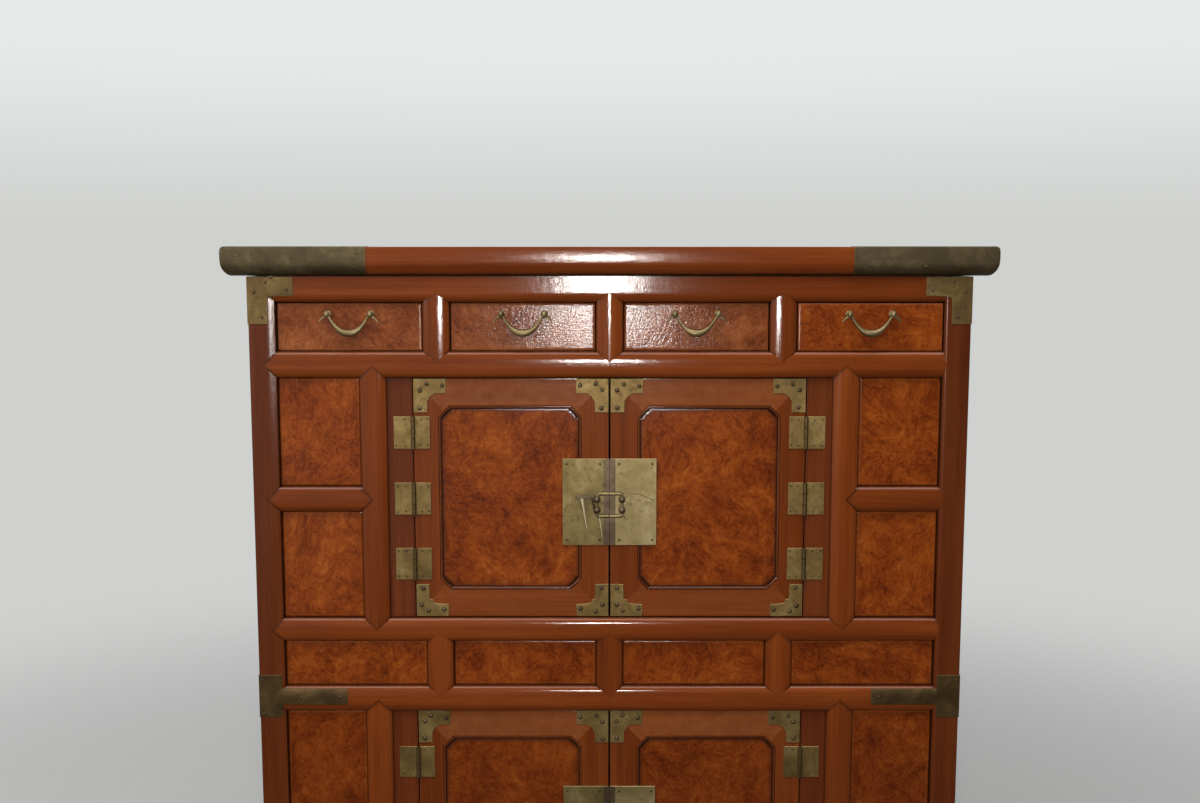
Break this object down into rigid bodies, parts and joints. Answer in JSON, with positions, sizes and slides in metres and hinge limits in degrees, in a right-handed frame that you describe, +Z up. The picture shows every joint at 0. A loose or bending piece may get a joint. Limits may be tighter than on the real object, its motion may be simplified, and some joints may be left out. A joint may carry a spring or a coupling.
{
  "type": "two-tier chest",
  "caption": "Free-standing wooden chest in two tiers: a row of small drawers over pairs of panelled doors with brass hinges, locks and pulls.",
  "frame": {"origin": "on the floor, under the middle of the chest's bounding box", "axes": "+Z up, the front faces -Y, +X to the right as seen from the front"},
  "size_m": [1.067, 0.47, 1.287],
  "materials": {
    "frame_wood": "satin lacquer",
    "burl_wood": "satin lacquer",
    "inner_wood": "bare",
    "aged_brass": "aged"
  },
  "bodies": {
    "case": {"back_panel": "inner_wood", "base_shelf": "frame_wood", "drawer_shelf": "frame_wood", "front_post_left": "frame_wood", "front_post_right": "frame_wood", "lower_field_left": "burl_wood", "lower_field_right": "burl_wood", "lower_jamb_left": "frame_wood", "lower_jamb_right": "frame_wood", "lower_left_hinge_1": "aged_brass", "lower_left_hinge_2": "aged_brass", "lower_left_hinge_3": "aged_brass", "lower_right_hinge_1": "aged_brass", "lower_right_hinge_2": "aged_brass", "lower_right_hinge_3": "aged_brass", "lower_row_panel": "burl_wood", "lower_sill_rail": "frame_wood", "side_frame_left": "frame_wood", "side_frame_right": "frame_wood", "tier_shelf": "frame_wood", "top_board": "frame_wood", "top_rail": "frame_wood", "upper_field_left": "burl_wood", "upper_field_right": "burl_wood", "upper_jamb_left": "frame_wood", "upper_jamb_right": "frame_wood", "upper_left_hinge_1": "aged_brass", "upper_left_hinge_2": "aged_brass", "upper_left_hinge_3": "aged_brass", "upper_right_hinge_1": "aged_brass", "upper_right_hinge_2": "aged_brass", "upper_right_hinge_3": "aged_brass", "upper_row_panel": "burl_wood", "upper_sill_rail": "frame_wood"},
    "drawer_1": {"drawer_1": "burl_wood"},
    "drawer_1_bail": {"drawer_1_bail": "aged_brass"},
    "drawer_2": {"drawer_2": "burl_wood"},
    "drawer_2_bail": {"drawer_2_bail": "aged_brass"},
    "drawer_3": {"drawer_3": "burl_wood"},
    "drawer_3_bail": {"drawer_3_bail": "aged_brass"},
    "drawer_4": {"drawer_4": "burl_wood"},
    "drawer_4_bail": {"drawer_4_bail": "aged_brass"},
    "lower_left_door": {"lower_left_door_frame": "frame_wood", "lower_left_door_panel": "burl_wood", "lower_left_lock_plate": "aged_brass"},
    "lower_left_lock_pull": {"lower_left_lock_pull": "aged_brass"},
    "lower_lock_pin": {"lower_lock_pin": "aged_brass"},
    "lower_right_door": {"lower_right_door_frame": "frame_wood", "lower_right_door_panel": "burl_wood", "lower_right_lock_plate": "aged_brass"},
    "lower_right_lock_pull": {"lower_right_lock_pull": "aged_brass"},
    "upper_left_door": {"upper_left_door_frame": "frame_wood", "upper_left_door_panel": "burl_wood", "upper_left_lock_plate": "aged_brass"},
    "upper_left_lock_pull": {"upper_left_lock_pull": "aged_brass"},
    "upper_lock_pin": {"upper_lock_pin": "aged_brass"},
    "upper_right_door": {"upper_right_door_frame": "frame_wood", "upper_right_door_panel": "burl_wood", "upper_right_lock_plate": "aged_brass"},
    "upper_right_lock_pull": {"upper_right_lock_pull": "aged_brass"}
  },
  "joints": [
    {"name": "drawer_1_slide", "type": "slide", "parent": "case", "child": "drawer_1", "axis": [0, -1, 0], "range_m": [0, 0.28]},
    {"name": "drawer_1_bail_swing", "type": "hinge", "parent": "drawer_1", "child": "drawer_1_bail", "pos_m": [-0.3615, -0.2185, 1.19375], "axis": [-1, 0, 0], "range_deg": [0, 95]},
    {"name": "drawer_2_slide", "type": "slide", "parent": "case", "child": "drawer_2", "axis": [0, -1, 0], "range_m": [0, 0.28]},
    {"name": "drawer_2_bail_swing", "type": "hinge", "parent": "drawer_2", "child": "drawer_2_bail", "pos_m": [-0.1205, -0.2185, 1.19375], "axis": [-1, 0, 0], "range_deg": [0, 95]},
    {"name": "drawer_3_slide", "type": "slide", "parent": "case", "child": "drawer_3", "axis": [0, -1, 0], "range_m": [0, 0.28]},
    {"name": "drawer_3_bail_swing", "type": "hinge", "parent": "drawer_3", "child": "drawer_3_bail", "pos_m": [0.1205, -0.2185, 1.19375], "axis": [-1, 0, 0], "range_deg": [0, 95]},
    {"name": "drawer_4_slide", "type": "slide", "parent": "case", "child": "drawer_4", "axis": [0, -1, 0], "range_m": [-0.005, 0.275]},
    {"name": "drawer_4_bail_swing", "type": "hinge", "parent": "drawer_4", "child": "drawer_4_bail", "pos_m": [0.3615, -0.2235, 1.19375], "axis": [-1, 0, 0], "range_deg": [0, 95]},
    {"name": "upper_left_door_hinge", "type": "hinge", "parent": "case", "child": "upper_left_door", "pos_m": [-0.2753, -0.2135, 0.9335], "axis": [0, 0, -1], "range_deg": [0, 110]},
    {"name": "upper_left_lock_pull_swing", "type": "hinge", "parent": "upper_left_door", "child": "upper_left_lock_pull", "pos_m": [-0.0175, -0.22055, 0.9262], "axis": [0, 0, -1], "range_deg": [0, 100]},
    {"name": "upper_right_door_hinge", "type": "hinge", "parent": "case", "child": "upper_right_door", "pos_m": [0.2753, -0.2135, 0.9335], "axis": [0, 0, 1], "range_deg": [0, 110]},
    {"name": "upper_right_lock_pull_swing", "type": "hinge", "parent": "upper_right_door", "child": "upper_right_lock_pull", "pos_m": [0.0175, -0.22055, 0.9262], "axis": [0, 0, 1], "range_deg": [0, 100]},
    {"name": "upper_lock_pin_swing", "type": "hinge", "parent": "upper_left_door", "child": "upper_lock_pin", "pos_m": [-0.0175, -0.2139, 0.9337], "axis": [0, 1, 0], "range_deg": [0, 75]},
    {"name": "lower_left_door_hinge", "type": "hinge", "parent": "case", "child": "lower_left_door", "pos_m": [-0.2753, -0.2135, 0.4535], "axis": [0, 0, -1], "range_deg": [0, 110]},
    {"name": "lower_left_lock_pull_swing", "type": "hinge", "parent": "lower_left_door", "child": "lower_left_lock_pull", "pos_m": [-0.0175, -0.22055, 0.4462], "axis": [0, 0, -1], "range_deg": [0, 100]},
    {"name": "lower_right_door_hinge", "type": "hinge", "parent": "case", "child": "lower_right_door", "pos_m": [0.2753, -0.2135, 0.4535], "axis": [0, 0, 1], "range_deg": [0, 110]},
    {"name": "lower_right_lock_pull_swing", "type": "hinge", "parent": "lower_right_door", "child": "lower_right_lock_pull", "pos_m": [0.0175, -0.22055, 0.4462], "axis": [0, 0, 1], "range_deg": [0, 100]},
    {"name": "lower_lock_pin_swing", "type": "hinge", "parent": "lower_left_door", "child": "lower_lock_pin", "pos_m": [-0.0175, -0.2139, 0.4537], "axis": [0, 1, 0], "range_deg": [0, 75]}
  ]
}
